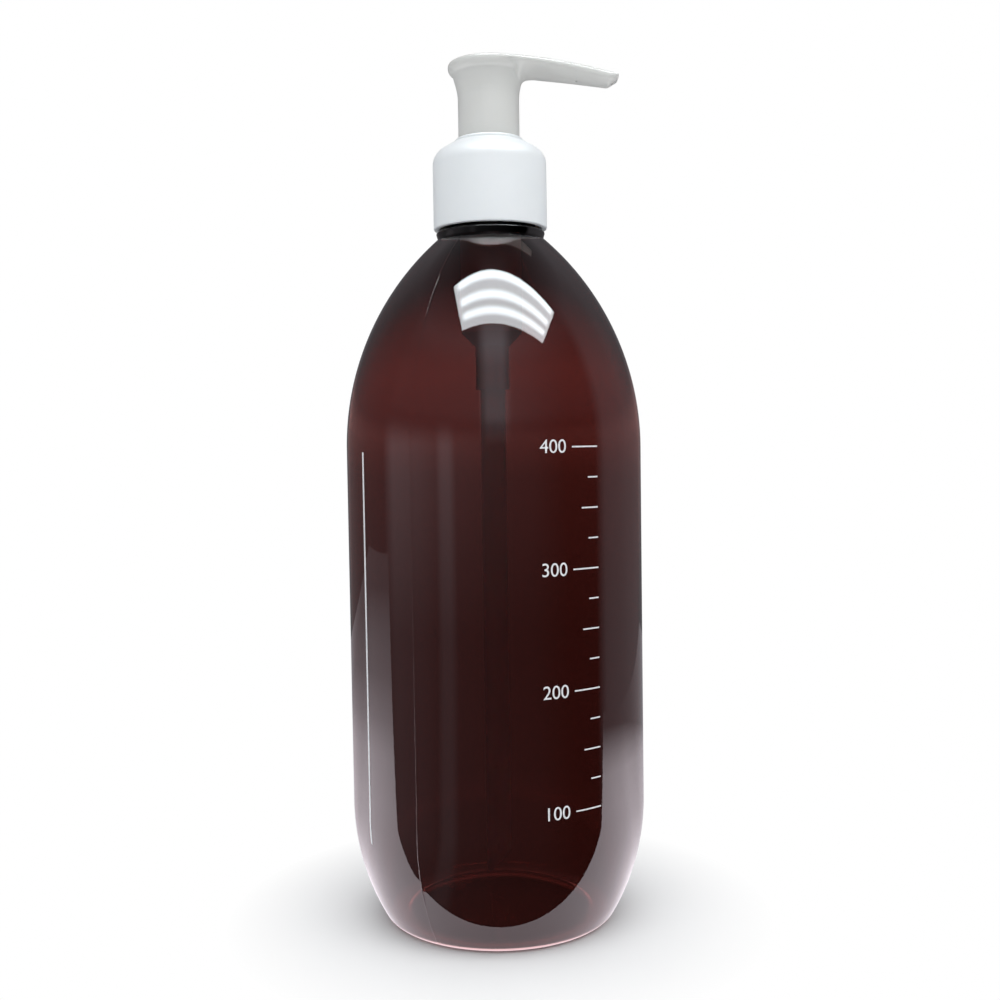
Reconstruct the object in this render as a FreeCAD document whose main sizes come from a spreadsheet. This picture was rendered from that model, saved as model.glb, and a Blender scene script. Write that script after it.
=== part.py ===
import FreeCAD, Part
import collections
import math
import os

import Sketcher

# Pump oil bottle: a round half-litre bottle of amber PET with a screw-on lotion pump.
# Millimetres. The origin is the centre of the bottle's foot, +Z is up and the spout points along +X.

DRIVING_SIZES = {
    # bottle
    "body_diameter": 70.5,
    "foot_height": 28.2,
    "straight_height": 84.6,
    "foot_curve": 54.0,
    "heel_radius": 3.0,
    "standing_ring": 3.0,
    "base_rise": 5.0,
    "shoulder_curve": 66.0,
    "bottle_wall": 0.7,
    "bead_overhang": 2.15,
    "bead_height": 2.0,
    "finish_height": 13.95,
    "finish_wall": 1.6,
    # gasket and collar
    "gasket_thickness": 1.0,
    "gasket_play": 0.1,
    "thread_room": 1.35,
    "collar_wall": 1.4,
    "collar_gap": 0.64,
    "collar_play": 0.05,
    "collar_edge": 3.1,
    "collar_drop": 0.95,
    "dome_slope": 0.577,
    "dome_wall": 1.5,
    "roof_bearing": 1.6,
    "mouth_play": 0.2,
    # lock ring
    "lock_wall": 0.75,
    "lock_flange": 1.1,
    "lock_depth": 10.2,
    "lock_floor": 1.0,
    "rim_rise": 0.75,
    "rim_bevel": 0.4,
    "snap_fit": 0.05,
    # pump housing
    "flange_thickness": 1.3,
    "flange_play": 0.45,
    "barrel_wall": 0.6,
    "neck_play": 0.25,
    "shelf_gap": 0.3,
    "chamber_bore": 12.6,
    "chamber_wall": 1.0,
    "chamber_depth": 28.5,
    "chamber_floor": 1.2,
    "vent_diameter": 0.8,
    "inlet_bore": 3.0,
    "inlet_length": 1.6,
    "tail_wall": 1.0,
    "socket_depth": 8.0,
    # inlet valve
    "ball_diameter": 4.5,
    "ball_play": 0.35,
    "ball_lift": 1.0,
    "ball_gap": 0.1,
    "seat_gap": 0.03,
    "cage_thickness": 1.2,
    "cage_play": 0.15,
    "cage_wall": 1.0,
    "cage_hole": 1.6,
    "pilot_height": 2.2,
    "pilot_play": 0.4,
    # return spring
    "spring_diameter": 10.7,
    "spring_wire": 0.8,
    "spring_turns": 4,
    "coil_gap": 0.06,
    # plunger
    "press_stroke": 10.5,
    "stem_diameter": 7.0,
    "stem_bore": 4.5,
    "stem_play": 0.3,
    "stop_gap": 0.1,
    "stop_step": 0.9,
    "stop_height": 1.2,
    "piston_height": 6.0,
    "piston_play": 0.05,
    "piston_float": 0.8,
    "piston_sleeve": 0.9,
    "lip_wall": 0.6,
    "lip_depth": 1.8,
    "waist_depth": 0.6,
    "rod_head": 1.2,
    "rod_head_gap": 0.9,
    "rod_length": 12.0,
    "rod_groove": 0.9,
    "port_gap": 0.5,
    # pump head
    "skirt_diameter": 14.6,
    "skirt_wall": 0.8,
    "skirt_play": 0.25,
    "skirt_clearance": 1.2,
    "socket_wall": 0.95,
    "socket_fit": 0.02,
    "socket_length": 10.0,
    "flare_curve": 6.5,
    "flare_inset": 0.1,
    "pad_diameter": 19.2,
    "pad_rise": 4.7,
    "pad_thickness": 2.95,
    "seat_drop": 3.15,
    "crown_curve": 133.0,
    "spout_reach": 31.0,
    "tip_thickness": 2.55,
    "tip_width": 6.8,
    "tip_slant": 2.5,
    "top_round": 1.1,
    "under_round": 0.9,
    "riser_bore": 3.2,
    "nozzle_bore": 1.7,
    "trim_margin": 3.0,
    # dip tube
    "tube_diameter": 6.0,
    "tube_wall": 0.8,
    "tube_fit": 0.05,
    "tube_clearance": 3.3,
}

doc = FreeCAD.newDocument("pump_oil_bottle")
sheet = doc.addObject("Spreadsheet::Sheet", "Dimensions")
for row, (alias, number) in enumerate(DRIVING_SIZES.items(), start=1):
    sheet.set(f"A{row}", alias)
    sheet.set(f"B{row}", str(number))
    sheet.setAlias(f"B{row}", alias)
doc.recompute()


class Size:
    """A length that carries both its number and the expression it is worked out by."""

    def __init__(self, value, text):
        self.value = value
        self.text = text

    def __add__(self, other):
        return Size(self.value + other.value, f"({self.text} + {other.text})")

    def __sub__(self, other):
        return Size(self.value - other.value, f"({self.text} - {other.text})")

    def __mul__(self, other):
        other = plain(other)
        return Size(self.value * other.value, f"{self.text} * {other.text}")

    def __truediv__(self, other):
        other = plain(other)
        return Size(self.value / other.value, f"{self.text} / ({other.text})")

    def __neg__(self):
        return Size(-self.value, f"(-1 * {self.text})")

    def root(self):
        return Size(math.sqrt(self.value), f"sqrt({self.text})")


def plain(number):
    """A bare factor, such as the 2 of a diameter, as a Size."""
    if isinstance(number, Size):
        return number
    return Size(number, str(number))


def size(alias):
    return Size(float(sheet.get(alias)), f"Dimensions.{alias}")


def half(alias):
    return size(alias) / 2


def leg(longest, other):
    """The third side of a right-angled triangle."""
    return (longest * longest - other * other).root()


ZERO = Size(0.0, "0")

# A corner of an outline. A radius makes the edge that leaves it an arc, with its centre on that side of travel.
Corner = collections.namedtuple("Corner", "across up radius centre", defaults=(None, None))


def new_body(label):
    body = doc.addObject("PartDesign::Body", label)
    body.Label = label
    return body


def plane_of(body, role):
    return next(item for item in body.Origin.OriginFeatures if item.Role == role)


def new_sketch(body, name, role):
    sketch = body.newObject("Sketcher::SketchObject", name)
    sketch.AttachmentSupport = [(plane_of(body, role), "")]
    sketch.MapMode = "FlatFace"
    return sketch


def bind(sketch, constraint, length):
    sketch.setExpression(f"Constraints[{sketch.addConstraint(constraint)}]", length.text)


def pin_point(sketch, edge, point, across, up):
    """Holds one point of an edge at its distance from the sketch's two axes."""
    if across is ZERO:
        sketch.addConstraint(Sketcher.Constraint("PointOnObject", edge, point, -2))
    elif across.value < 0:
        bind(sketch, Sketcher.Constraint("DistanceX", edge, point, -1, 1, -across.value), -across)
    else:
        bind(sketch, Sketcher.Constraint("DistanceX", -1, 1, edge, point, across.value), across)
    if up is ZERO:
        sketch.addConstraint(Sketcher.Constraint("PointOnObject", edge, point, -1))
    else:
        bind(sketch, Sketcher.Constraint("DistanceY", -1, 1, edge, point, up.value), up)


def arc_edge(begin, finish, radius, centre):
    """An arc from begin to finish, with the numbers of its first and last point."""
    run = finish - begin
    sideways = FreeCAD.Vector(-run.y, run.x, 0).normalize()
    reach = math.sqrt(radius ** 2 - (run.Length / 2) ** 2)
    hub = (begin + finish) / 2 + sideways * (reach if centre == "left" else -reach)
    circle = Part.Circle(hub, FreeCAD.Vector(0, 0, 1), radius)
    first, last = (math.atan2(point.y - hub.y, point.x - hub.x) for point in (begin, finish))
    if centre == "left":
        return Part.ArcOfCircle(circle, first, last), 1, 2
    return Part.ArcOfCircle(circle, last, first), 2, 1


def outline(body, name, role, corners):
    """A closed sketch of straight edges and arcs through the corners."""
    sketch = new_sketch(body, name, role)
    points = [FreeCAD.Vector(corner.across.value, corner.up.value, 0) for corner in corners]
    ends = []
    for index, corner in enumerate(corners):
        begin, finish = points[index], points[(index + 1) % len(points)]
        if corner.radius is None:
            edge, first, last = Part.LineSegment(begin, finish), 1, 2
        else:
            edge, first, last = arc_edge(begin, finish, corner.radius.value, corner.centre)
        sketch.addGeometry(edge, False)
        ends.append((first, last))
    for index, corner in enumerate(corners):
        following = (index + 1) % len(corners)
        sketch.addConstraint(Sketcher.Constraint("Coincident", index, ends[index][1], following, ends[following][0]))
        pin_point(sketch, index, ends[index][0], corner.across, corner.up)
        if corner.radius is not None:
            bind(sketch, Sketcher.Constraint("Radius", index, corner.radius.value), corner.radius)
    return sketch


def disc(body, name, role, radius, across=ZERO, up=ZERO):
    """A sketch of one circle."""
    sketch = new_sketch(body, name, role)
    middle = FreeCAD.Vector(across.value, up.value, 0)
    sketch.addGeometry(Part.Circle(middle, FreeCAD.Vector(0, 0, 1), radius.value), False)
    pin_point(sketch, 0, 3, across, up)
    bind(sketch, Sketcher.Constraint("Radius", 0, radius.value), radius)
    return sketch


def raise_sketch(sketch, height):
    """Lifts a sketch off its plane."""
    sketch.setExpression("AttachmentOffset.Base.z", height.text)


def feature(body, kind, name, profile):
    made = body.newObject(f"PartDesign::{kind}", name)
    made.Profile = profile
    return made


def turned(body, name, corners, kind="Revolution"):
    """A profile of radius and height corners turned about the axis of the bottle."""
    profile = outline(body, f"{name}_profile", "XZ_Plane", [Corner(*corner) for corner in corners])
    made = feature(body, kind, name, profile)
    made.ReferenceAxis = (profile, ["V_Axis"])
    made.Angle = 360
    return made


def polar(body, name, original, copies):
    pattern = body.newObject("PartDesign::PolarPattern", name)
    pattern.Originals = [original]
    pattern.Axis = (original.Profile[0], ["N_Axis"])
    pattern.Angle = 360
    pattern.Occurrences = copies
    body.Tip = pattern
    return pattern


# Radii, from the sliding skirt outwards to the collar
skirt_outer = half("skirt_diameter")
lock_inner = skirt_outer + size("skirt_play")
lock_outer = lock_inner + size("lock_wall")
barrel_inner = lock_outer + size("snap_fit")
barrel_outer = barrel_inner + size("barrel_wall")
neck_inner = barrel_outer + size("neck_play")
finish_outer = neck_inner + size("finish_wall")
bead_outer = finish_outer + size("bead_overhang")
collar_inner = finish_outer + size("thread_room")
collar_outer = collar_inner + size("collar_wall")
flange_outer = collar_inner - size("flange_play")
mouth_inner = lock_outer + size("mouth_play")
stem_outer = half("stem_diameter")
chamber_inner = half("chamber_bore")
chamber_outer = chamber_inner + size("chamber_wall")

# Levels of the bottle
body_outer = half("body_diameter")
shoulder_start = size("foot_height") + size("straight_height")
shoulder_hub = body_outer - size("shoulder_curve")
neck_base = shoulder_start + leg(size("shoulder_curve"), bead_outer - shoulder_hub)
bead_top = neck_base + size("bead_height")
lip = bead_top + size("finish_height")

# Levels of the clamped stack on the lip, and of the collar's dome over it
flange_under = lip + size("gasket_thickness")
flange_top = flange_under + size("flange_thickness")
lock_top = flange_top + size("lock_flange")
roof = lock_top + size("collar_play")
collar_foot = bead_top + size("collar_gap")
side_top = roof - size("collar_drop")
slope_length = (plain(1.0) + size("dome_slope") * size("dome_slope")).root()
dome_radius = collar_outer - size("collar_edge") + size("collar_edge") * size("dome_slope") / slope_length
dome_level = side_top + size("collar_edge") / slope_length
mouth_level = dome_level + (dome_radius - mouth_inner) * size("dome_slope")
rim_top = mouth_level + size("rim_rise")

# Levels of the pump, from the lock ring down
lock_bottom = flange_top - size("lock_depth")
lock_floor_top = lock_bottom + size("lock_floor")
shelf = lock_bottom - size("shelf_gap")
floor = shelf - size("chamber_depth")
cage_top = floor + size("cage_thickness")
ball_radius = half("ball_diameter")
inlet_radius = half("inlet_bore")
ball_seat_rise = ball_radius * plain(2.0).root() - inlet_radius + size("seat_gap")
ball_centre = floor - size("ball_gap") - size("ball_lift") - ball_radius
seat = ball_centre - ball_seat_rise
pocket_radius = ball_radius + size("ball_play")
socket_top = seat - size("inlet_length")
socket_bottom = socket_top - size("socket_depth")
tube_outer = half("tube_diameter")
tube_socket = tube_outer + size("tube_fit")
tail_outer = tube_socket + size("tail_wall")
taper_top = floor - size("chamber_floor")

# Levels of the plunger at rest, from its stop under the lock ring
stop_top = lock_bottom - size("stop_gap")
stop_bottom = stop_top - size("stop_height")
piston_top = stop_bottom - size("seat_gap") - size("piston_float")
piston_bottom = piston_top - size("piston_height")
rod_top = piston_bottom - size("seat_gap")
rod_under = rod_top - size("rod_head")
spring_outer = half("spring_diameter")
spring_middle = spring_outer - half("spring_wire")
pilot_outer = spring_outer - size("spring_wire") - size("pilot_play")
skirt_bottom = lock_floor_top + size("press_stroke") + size("skirt_clearance")
flare_start = rim_top + size("press_stroke")
pad_bottom = flare_start + size("pad_rise")
pad_top = pad_bottom + size("pad_thickness")
pad_middle = pad_bottom + half("pad_thickness")
stem_top = pad_bottom - size("seat_drop")


def bottle():
    """One blown shell: pushed-up base, curved foot, straight side, domed shoulder, bead and plain neck finish."""
    body = new_body("bottle")
    wall = size("bottle_wall")
    heel, foot, shoulder = size("heel_radius"), size("foot_curve"), size("shoulder_curve")
    foot_hub = body_outer - foot
    reach = foot - heel
    drop = size("foot_height") - heel
    heel_hub = foot_hub + leg(reach, drop)
    ring_inner = heel_hub - size("standing_ring")
    rise = size("base_rise")
    base_curve = (ring_inner * ring_inner + rise * rise) / (rise * 2)
    base_hub_drop = base_curve - rise
    heel_turn = (heel_hub + heel * leg(reach, drop) / reach, heel - heel * drop / reach)
    inner_heel = heel - wall
    inner_turn = (heel_hub + inner_heel * leg(reach, drop) / reach, heel - inner_heel * drop / reach)
    inner_base = base_curve + wall
    inner_ring = leg(inner_base, base_hub_drop + wall)
    inner_shoulder = shoulder - wall
    inner_neck = shoulder_start + leg(inner_shoulder, neck_inner - shoulder_hub)
    turned(body, "blown_shell", [
        (ZERO, rise, base_curve, "right"),
        (ring_inner, ZERO),
        (heel_hub, ZERO, heel, "left"),
        (*heel_turn, foot, "left"),
        (body_outer, size("foot_height")),
        (body_outer, shoulder_start, shoulder, "left"),
        (bead_outer, neck_base),
        (bead_outer, bead_top),
        (finish_outer, bead_top),
        (finish_outer, lip),
        (neck_inner, lip),
        (neck_inner, inner_neck, inner_shoulder, "right"),
        (body_outer - wall, shoulder_start),
        (body_outer - wall, size("foot_height"), foot - wall, "right"),
        (*inner_turn, inner_heel, "right"),
        (heel_hub, wall),
        (inner_ring, wall, inner_base, "left"),
        (ZERO, rise + wall),
    ])
    return body


def neck_gasket():
    """The washer that the pump's flange is clamped down on."""
    body = new_body("neck_gasket")
    inner = barrel_outer + size("gasket_play")
    outer = finish_outer - size("gasket_play")
    turned(body, "washer", [(inner, lip), (outer, lip), (outer, flange_under), (inner, flange_under)])
    return body


def screw_collar():
    """The smooth screw closure with its domed roof."""
    body = new_body("screw_collar")
    bearing = collar_inner - size("roof_bearing")
    lining = size("dome_wall") * slope_length
    under_bearing = dome_level + (dome_radius - bearing) * size("dome_slope") - lining
    turned(body, "closure", [
        (collar_inner, collar_foot),
        (collar_outer, collar_foot),
        (collar_outer, side_top, size("collar_edge"), "left"),
        (dome_radius, dome_level),
        (mouth_inner, mouth_level),
        (mouth_inner, mouth_level - lining),
        (bearing, under_bearing),
        (bearing, roof),
        (collar_inner, roof),
    ])
    return body


def lock_ring():
    """The guide that snaps into the housing: it holds the plunger in and shows as a rim in the collar's mouth."""
    body = new_body("lock_ring")
    bevel = size("rim_bevel")
    turned(body, "guide", [
        (stem_outer + size("stem_play"), lock_bottom),
        (lock_outer, lock_bottom),
        (lock_outer, flange_top),
        (flange_outer, flange_top),
        (flange_outer, lock_top),
        (lock_outer, lock_top),
        (lock_outer, rim_top - bevel),
        (lock_outer - bevel, rim_top),
        (lock_inner, rim_top),
        (lock_inner, lock_floor_top),
        (stem_outer + size("stem_play"), lock_floor_top),
    ])
    return body


def pump_housing():
    """The flanged barrel that hangs in the neck, with the pump chamber, the ball's seat and the tube's socket."""
    body = new_body("pump_housing")
    taper_bottom = taper_top - (chamber_outer - tail_outer)
    turned(body, "barrel", [
        (barrel_inner, flange_top),
        (barrel_inner, shelf),
        (chamber_inner, shelf),
        (chamber_inner, floor),
        (pocket_radius, floor),
        (pocket_radius, seat + pocket_radius - inlet_radius),
        (inlet_radius, seat),
        (inlet_radius, socket_top),
        (tube_socket, socket_top),
        (tube_socket, socket_bottom),
        (tail_outer, socket_bottom),
        (tail_outer, taper_bottom),
        (chamber_outer, taper_top),
        (chamber_outer, shelf - (barrel_outer - chamber_outer)),
        (barrel_outer, shelf),
        (barrel_outer, flange_under),
        (flange_outer, flange_under),
        (flange_outer, flange_top),
    ])
    vent = feature(body, "Pocket", "vent_hole",
                   disc(body, "vent_circle", "YZ_Plane", half("vent_diameter"), ZERO, (piston_top + piston_bottom) / 2))
    vent.setExpression("Length", (chamber_outer * 2).text)
    vent.Reversed = False
    return body


def ball_cage():
    """The drilled disc that keeps the ball in its pocket and centres the spring."""
    body = new_body("ball_cage")
    rim = chamber_inner - size("cage_play")
    pilot_inner = pilot_outer - size("cage_wall")
    turned(body, "cage_disc", [
        (ZERO, floor),
        (rim, floor),
        (rim, cage_top),
        (pilot_outer, cage_top),
        (pilot_outer, cage_top + size("pilot_height")),
        (pilot_inner, cage_top + size("pilot_height")),
        (pilot_inner, cage_top),
        (ZERO, cage_top),
    ])
    hole_circle = disc(body, "flow_circle", "XY_Plane", half("cage_hole"), pilot_inner - size("cage_hole") / 4 * 3, ZERO)
    raise_sketch(hole_circle, floor)
    hole = feature(body, "Pocket", "flow_hole", hole_circle)
    hole.Reversed = True
    hole.setExpression("Length", size("cage_thickness").text)
    polar(body, "flow_holes", hole, 3)
    return body


def inlet_ball():
    """The check valve's ball, resting on the cone of its seat."""
    body = new_body("inlet_ball")
    turned(body, "ball", [
        (ZERO, ball_centre - ball_radius, ball_radius, "left"),
        (ball_radius, ball_centre, ball_radius, "left"),
        (ZERO, ball_centre + ball_radius),
    ])
    return body


def dip_tube():
    """The cut length of tube that reaches to the base, with a bevelled end."""
    body = new_body("dip_tube")
    inner = tube_outer - size("tube_wall")
    end = size("base_rise") + size("bottle_wall") + size("tube_clearance")
    turned(body, "tube", [(inner, end), (tube_outer, end), (tube_outer, socket_top), (inner, socket_top)])
    bevel = outline(body, "bevel_outline", "XZ_Plane", [
        Corner(-tube_outer, end),
        Corner(tube_outer, end),
        Corner(tube_outer, end + size("tube_diameter")),
    ])
    cut = feature(body, "Pocket", "bevel", bevel)
    cut.SideType = "Symmetric"
    cut.setExpression("Length", (size("tube_diameter") * 2).text)
    return body


def return_spring():
    """A compression spring with one closed coil at each end, between the cage and the rod's head."""
    body = new_body("return_spring")
    wire = half("spring_wire")
    end_pitch = size("spring_wire") + size("coil_gap")
    first = cage_top + wire
    last = rod_under - wire
    stretches = [
        ("lower_coil", first, end_pitch, plain(1)),
        ("active_coils", first + end_pitch, last - first - end_pitch * 2, size("spring_turns")),
        ("upper_coil", last - end_pitch, end_pitch, plain(1)),
    ]
    for name, level, height, turns in stretches:
        section = disc(body, f"{name}_section", "XZ_Plane", wire, spring_middle, level)
        coil = feature(body, "AdditiveHelix", name, section)
        coil.ReferenceAxis = (section, ["V_Axis"])
        coil.Mode = "height-turns-angle"
        coil.setExpression("Height", height.text)
        coil.setExpression("Turns", turns.text)
    return body


def piston():
    """The wiper piston: a sleeve on the stem, and two lips that seal against the chamber."""
    body = new_body("piston")
    inner = stem_outer + size("piston_play")
    sleeve = inner + size("piston_sleeve")
    outer = chamber_inner - size("piston_play")
    lip_inner = outer - size("lip_wall")
    waist = outer - size("waist_depth")
    depth = size("lip_depth")
    turned(body, "seal", [
        (inner, piston_bottom),
        (sleeve, piston_bottom),
        (sleeve, piston_bottom + depth),
        (lip_inner - size("waist_depth"), piston_bottom + depth),
        (lip_inner, piston_bottom),
        (outer, piston_bottom),
        (waist, piston_bottom + depth),
        (waist, piston_top - depth),
        (outer, piston_top),
        (lip_inner, piston_top),
        (lip_inner - size("waist_depth"), piston_top - depth),
        (sleeve, piston_top - depth),
        (sleeve, piston_top),
        (inner, piston_top),
    ])
    return body


def valve_rod():
    """The rod pressed into the stem's foot: its head closes the piston from below and takes the spring."""
    body = new_body("valve_rod")
    head = chamber_inner - size("rod_head_gap")
    shank = half("stem_bore") - size("snap_fit")
    turned(body, "rod", [
        (ZERO, rod_under - size("pilot_height")),
        (pilot_outer, rod_under - size("pilot_height")),
        (pilot_outer, rod_under),
        (head, rod_under),
        (head, rod_top),
        (shank, rod_top),
        (shank, rod_top + size("rod_length")),
        (ZERO, rod_top + size("rod_length")),
    ])
    groove_circle = disc(body, "groove_circle", "XY_Plane", half("rod_groove"), shank, ZERO)
    raise_sketch(groove_circle, rod_top)
    groove = feature(body, "Pocket", "flow_groove", groove_circle)
    groove.Reversed = True
    groove.setExpression("Length", size("rod_length").text)
    polar(body, "flow_grooves", groove, 4)
    return body


def stem():
    """The hollow stem from the piston up into the head, with the collar that stops it under the lock ring."""
    body = new_body("stem")
    stop_outer = stem_outer + size("stop_step")
    turned(body, "tube", [
        (half("stem_bore"), rod_top + size("port_gap")),
        (stem_outer, rod_top + size("port_gap")),
        (stem_outer, stop_bottom),
        (stop_outer, stop_bottom),
        (stop_outer, stop_top),
        (stem_outer, stop_top),
        (stem_outer, stem_top),
        (half("stem_bore"), stem_top),
    ])
    return body


def side_edges(shape, test):
    """The names of the edges round the faces that pass a test, without the one across the spout's tip."""
    round_faces = [edge for face in shape.Faces if test(face) for edge in face.Edges]
    names = []
    for number, edge in enumerate(shape.Edges, start=1):
        across_tip = edge.CenterOfMass.x > half("spout_reach").value and abs(edge.CenterOfMass.y) < 0.01
        if not across_tip and any(edge.isSame(other) for other in round_faces):
            names.append(f"Edge{number}")
    return names


def spout_plan(body):
    """The head seen from above: a round pad drawn out by two tangent sides to the tip of the spout."""
    sketch = new_sketch(body, "plan", "XY_Plane")
    pad, reach, tip = half("pad_diameter").value, size("spout_reach").value, half("tip_width").value
    lean = math.atan2(tip, reach) + math.acos(pad / math.hypot(reach, tip))
    touch = FreeCAD.Vector(pad * math.cos(lean), pad * math.sin(lean), 0)
    mirror = FreeCAD.Vector(touch.x, -touch.y, 0)
    far, near = FreeCAD.Vector(reach, tip, 0), FreeCAD.Vector(reach, -tip, 0)
    circle = Part.Circle(FreeCAD.Vector(0, 0, 0), FreeCAD.Vector(0, 0, 1), pad)
    sketch.addGeometry(Part.ArcOfCircle(circle, lean, 2 * math.pi - lean), False)
    sketch.addGeometry(Part.LineSegment(mirror, near), False)
    sketch.addGeometry(Part.LineSegment(near, far), False)
    sketch.addGeometry(Part.LineSegment(far, touch), False)
    sketch.addConstraint(Sketcher.Constraint("Coincident", 0, 3, -1, 1))
    sketch.addConstraint(Sketcher.Constraint("Tangent", 0, 2, 1, 1))
    sketch.addConstraint(Sketcher.Constraint("Coincident", 1, 2, 2, 1))
    sketch.addConstraint(Sketcher.Constraint("Coincident", 2, 2, 3, 1))
    sketch.addConstraint(Sketcher.Constraint("Tangent", 3, 2, 0, 1))
    sketch.addConstraint(Sketcher.Constraint("Symmetric", 2, 1, 2, 2, -1))
    bind(sketch, Sketcher.Constraint("Radius", 0, pad), half("pad_diameter"))
    bind(sketch, Sketcher.Constraint("DistanceX", -1, 1, 2, 1, reach), size("spout_reach"))
    bind(sketch, Sketcher.Constraint("DistanceY", 2, 1, 2, 2, 2 * tip), size("tip_width"))
    return sketch


def crown_level(across):
    """Height of the head's crowned top at a distance from the axis."""
    return pad_top - size("crown_curve") + leg(size("crown_curve"), across)


def trim(body, name, corners):
    """Cuts the head's blank to a line of its side view, right across its width."""
    profile = outline(body, f"{name}_outline", "XZ_Plane", [Corner(*corner) for corner in corners])
    cut = feature(body, "Pocket", name, profile)
    cut.SideType = "Symmetric"
    cut.setExpression("Length", (size("pad_diameter") * 2).text)


def rounded(body, name, radius, test):
    """Rounds the long edges of the faces that pass a test."""
    doc.recompute()
    base = body.Tip
    fillet = body.newObject("PartDesign::Fillet", name)
    fillet.Base = (base, side_edges(base.Shape, test))
    fillet.setExpression("Radius", radius.text)


def pump_head():
    """The moulded head: a crowned pad drawn out into a drooping spout, flared into a skirt round the stem's socket."""
    body = new_body("pump_head")
    margin = size("trim_margin")
    back = half("pad_diameter") + margin
    reach = size("spout_reach")
    front = reach + margin
    tip_under = reach - size("tip_slant")
    tip_bottom = crown_level(tip_under) - size("tip_thickness")
    slope = (pad_bottom - tip_bottom) / tip_under
    blank_bottom = pad_bottom - slope * front

    plan = spout_plan(body)
    raise_sketch(plan, blank_bottom)
    blank = feature(body, "Pad", "blank", plan)
    blank.setExpression("Length", (pad_top + margin - blank_bottom).text)

    trim(body, "crown", [
        (-back, crown_level(back)),
        (-back, pad_top + margin * 2),
        (front, pad_top + margin * 2),
        (front, crown_level(front), size("crown_curve"), "left"),
    ])
    trim(body, "underside", [
        (-back, pad_bottom + slope * back),
        (tip_under, tip_bottom),
        (reach, crown_level(reach)),
        (front, crown_level(reach)),
        (front, blank_bottom - margin),
        (-back, blank_bottom - margin),
    ])
    rounded(body, "top_edges", size("top_round"), lambda face: isinstance(face.Surface, Part.Cylinder)
            and abs(face.Surface.Axis.y) > 0.9)
    rounded(body, "under_edges", size("under_round"), lambda face: isinstance(face.Surface, Part.Plane)
            and face.normalAt(0, 0).z < -0.9)

    flare = size("flare_curve")
    flare_outer = half("pad_diameter") - size("flare_inset")
    flare_top = flare_start + leg(flare, flare - (flare_outer - skirt_outer))
    socket_inner = stem_outer + size("socket_fit")
    socket_outer = socket_inner + size("socket_wall")
    skirt_inner = skirt_outer - size("skirt_wall")
    socket_end = stem_top - size("socket_length")
    turned(body, "skirt", [
        (skirt_inner, skirt_bottom),
        (skirt_outer, skirt_bottom),
        (skirt_outer, flare_start, flare, "right"),
        (flare_outer, flare_top),
        (flare_outer, pad_middle),
        (ZERO, pad_middle),
        (ZERO, stem_top),
        (socket_inner, stem_top),
        (socket_inner, socket_end),
        (socket_outer, socket_end),
        (socket_outer, stem_top),
        (skirt_inner, stem_top),
    ])
    riser = half("riser_bore")
    turned(body, "riser", [(ZERO, stem_top), (riser, stem_top), (riser, pad_middle), (ZERO, pad_middle)], "Groove")

    bore = disc(body, "bore_circle", "YZ_Plane", half("nozzle_bore"), ZERO, pad_middle)
    route = new_sketch(body, "bore_route", "XZ_Plane")
    mouth_across = reach - half("tip_slant")
    mouth_up = (crown_level(reach) + tip_bottom) / 2
    end = (front, pad_middle - (pad_middle - mouth_up) * front / mouth_across)
    route.addGeometry(Part.LineSegment(FreeCAD.Vector(0, pad_middle.value, 0),
                                       FreeCAD.Vector(end[0].value, end[1].value, 0)), False)
    pin_point(route, 0, 1, ZERO, pad_middle)
    pin_point(route, 0, 2, *end)
    nozzle = feature(body, "SubtractivePipe", "nozzle_bore", bore)
    nozzle.Spine = (route, ["Edge1"])
    return body


PIECES = (
    bottle, neck_gasket, screw_collar, lock_ring, pump_housing, ball_cage, inlet_ball, dip_tube,
    return_spring, piston, valve_rod, stem, pump_head,
)
bodies = [piece() for piece in PIECES]
doc.recompute()

for item in doc.Objects:
    if {"Invalid", "Error"} & set(item.State):
        raise RuntimeError(f"{item.Label} failed: {item.State}")
for body in bodies:
    if body.Shape.isNull() or not body.Shape.isValid() or len(body.Shape.Solids) != 1:
        raise RuntimeError(f"{body.Label} is not one sound solid")

os.makedirs("parts", exist_ok=True)
for body in bodies:
    body.Shape.exportStep(f"parts/{body.Label}.step")
    print(body.Label, round(body.Shape.Volume, 1), body.Shape.BoundBox)
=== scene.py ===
"""Looks of the pump oil bottle: finer meshes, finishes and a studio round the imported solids.

Metres in the scene, millimetres in the sizes below. +Z is up, the spout points along +X and the photograph is
taken from -Y.
"""
import math

import bpy
from mathutils import Matrix, Vector


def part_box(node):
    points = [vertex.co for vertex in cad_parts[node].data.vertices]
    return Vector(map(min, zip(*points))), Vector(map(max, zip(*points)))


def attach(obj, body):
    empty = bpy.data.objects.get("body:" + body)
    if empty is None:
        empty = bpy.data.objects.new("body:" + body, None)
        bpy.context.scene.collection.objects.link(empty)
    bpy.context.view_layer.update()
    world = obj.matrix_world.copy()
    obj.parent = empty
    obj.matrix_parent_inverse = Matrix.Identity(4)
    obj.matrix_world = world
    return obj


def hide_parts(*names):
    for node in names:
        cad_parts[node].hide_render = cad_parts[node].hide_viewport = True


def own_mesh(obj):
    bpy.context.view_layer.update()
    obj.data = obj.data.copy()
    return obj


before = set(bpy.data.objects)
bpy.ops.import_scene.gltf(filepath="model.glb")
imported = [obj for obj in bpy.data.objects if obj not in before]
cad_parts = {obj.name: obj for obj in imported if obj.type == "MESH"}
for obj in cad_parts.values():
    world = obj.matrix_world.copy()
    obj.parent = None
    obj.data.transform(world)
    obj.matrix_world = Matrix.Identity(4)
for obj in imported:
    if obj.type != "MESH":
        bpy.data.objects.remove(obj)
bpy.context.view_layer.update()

MM = 0.001


def levels(node):
    """Lowest and highest level of a solid, in millimetres."""
    low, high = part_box(node)
    return low[2] / MM, high[2] / MM


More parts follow.
